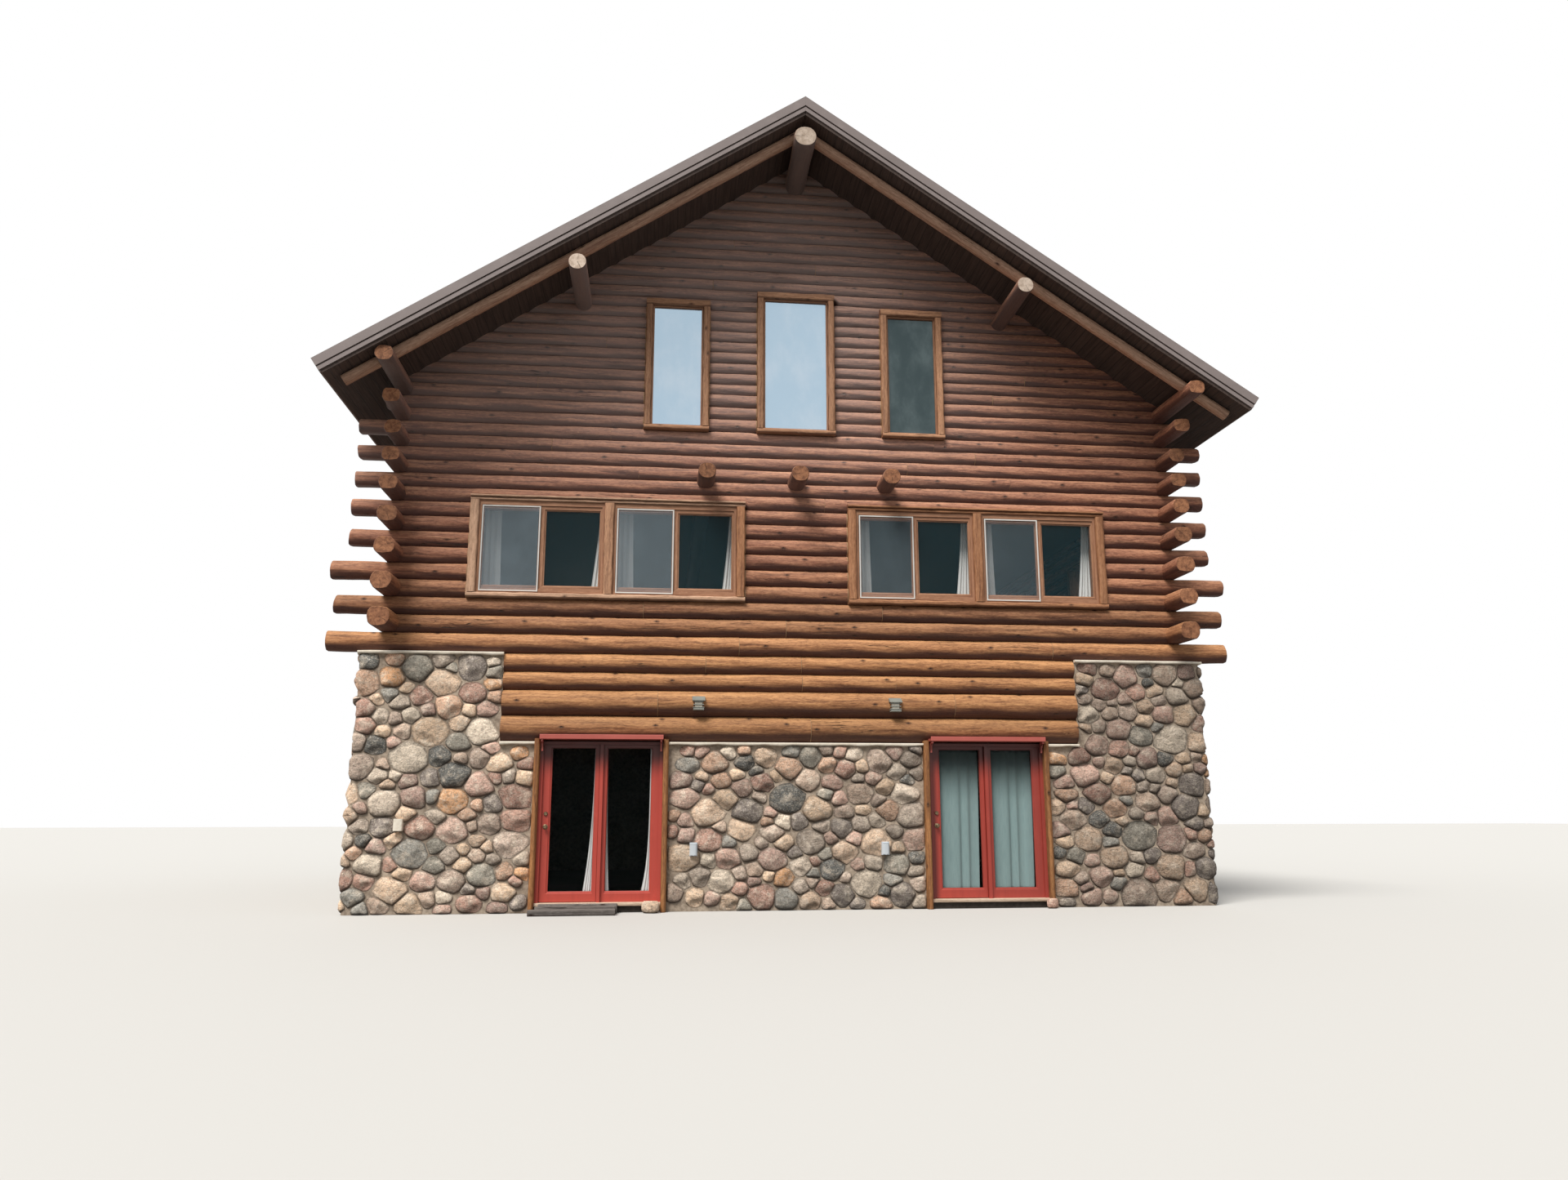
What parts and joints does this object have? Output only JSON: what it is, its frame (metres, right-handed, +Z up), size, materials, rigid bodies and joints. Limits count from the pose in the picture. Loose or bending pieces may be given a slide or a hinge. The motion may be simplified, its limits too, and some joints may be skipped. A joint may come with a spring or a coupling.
{
  "type": "alpine chalet",
  "caption": "Log chalet on a fieldstone basement, with butt-and-pass log corners, a deep gabled roof, wide sliding windows, tall gable windows and glazed basement doors.",
  "frame": {"origin": "on the ground, under the middle of the whole building's plan", "axes": "+Z up, -Y out of the gable front with the doors, +X to the right seen from the front"},
  "size_m": [12.56, 11.91, 11.022],
  "materials": {
    "fieldstone": "rounded fieldstones in pale mortar",
    "concrete": "cast slab",
    "log": "stained round logs",
    "floor_wood": "plain boards",
    "soffit_wood": "dark brown boards",
    "roof_metal": "satin ribbed sheet",
    "trim_metal": "satin folded sheet",
    "casing_wood": "half logs, oiled",
    "window_frame": "brown cladding",
    "screen": "fine insect mesh in a white frame",
    "glass": "clear",
    "jamb_wood": "half logs, oiled",
    "red_paint": "satin paint on wood",
    "sill_wood": "pale bare wood",
    "hardware": "aged",
    "curtain": "pale woven cloth",
    "lamp_metal": "matt grey green",
    "weathered_wood": "grey weathered planks"
  },
  "bodies": {
    "root": {"basement_slab": "concrete", "stone_front_left": "fieldstone", "stone_front_middle": "fieldstone", "stone_front_right": "fieldstone", "stone_left_wall": "fieldstone", "stone_right_wall": "fieldstone", "stone_back_wall": "fieldstone", "front_logs_even": "log", "front_logs_odd": "log", "back_logs_even": "log", "back_logs_odd": "log", "side_logs_even": "log", "side_logs_odd": "log", "loft_beams": "log", "main_floor": "floor_wood", "loft_floor": "floor_wood", "ridge_log": "log", "purlin_logs": "log", "fly_rafters": "log", "roof_deck": "soffit_wood", "metal_roofing": "roof_metal", "ridge_cap": "roof_metal", "rake_trim": "trim_metal", "eave_trim": "trim_metal", "window_casings": "casing_wood", "window_frames": "window_frame", "window_screens": "screen", "glass_panes": "glass", "door_jamb_logs": "jamb_wood", "door_frames": "red_paint", "door_sills": "sill_wood", "door_hoods": "red_paint", "fixed_leaves": "red_paint", "hinge_pins": "hardware", "curtains": "curtain", "lanterns": "lamp_metal", "outlet_covers": "lamp_metal", "plank_step": "weathered_wood"},
    "left_leaf": {"left_door_leaf": "red_paint", "left_door_glass": "glass", "left_door_hardware": "hardware", "left_door_curtain": "curtain"},
    "right_leaf": {"right_door_leaf": "red_paint", "right_door_glass": "glass", "right_door_hardware": "hardware", "right_door_curtain": "curtain"}
  },
  "joints": [
    {"name": "left_door_hinge", "type": "hinge", "parent": "root", "child": "left_leaf", "pos_m": [-2.605, -4.648, 1.1], "axis": [0, 0, -1], "range_deg": [0, 90]},
    {"name": "right_door_hinge", "type": "hinge", "parent": "root", "child": "right_leaf", "pos_m": [2.555, -4.648, 1.1], "axis": [0, 0, -1], "range_deg": [0, 90]}
  ]
}
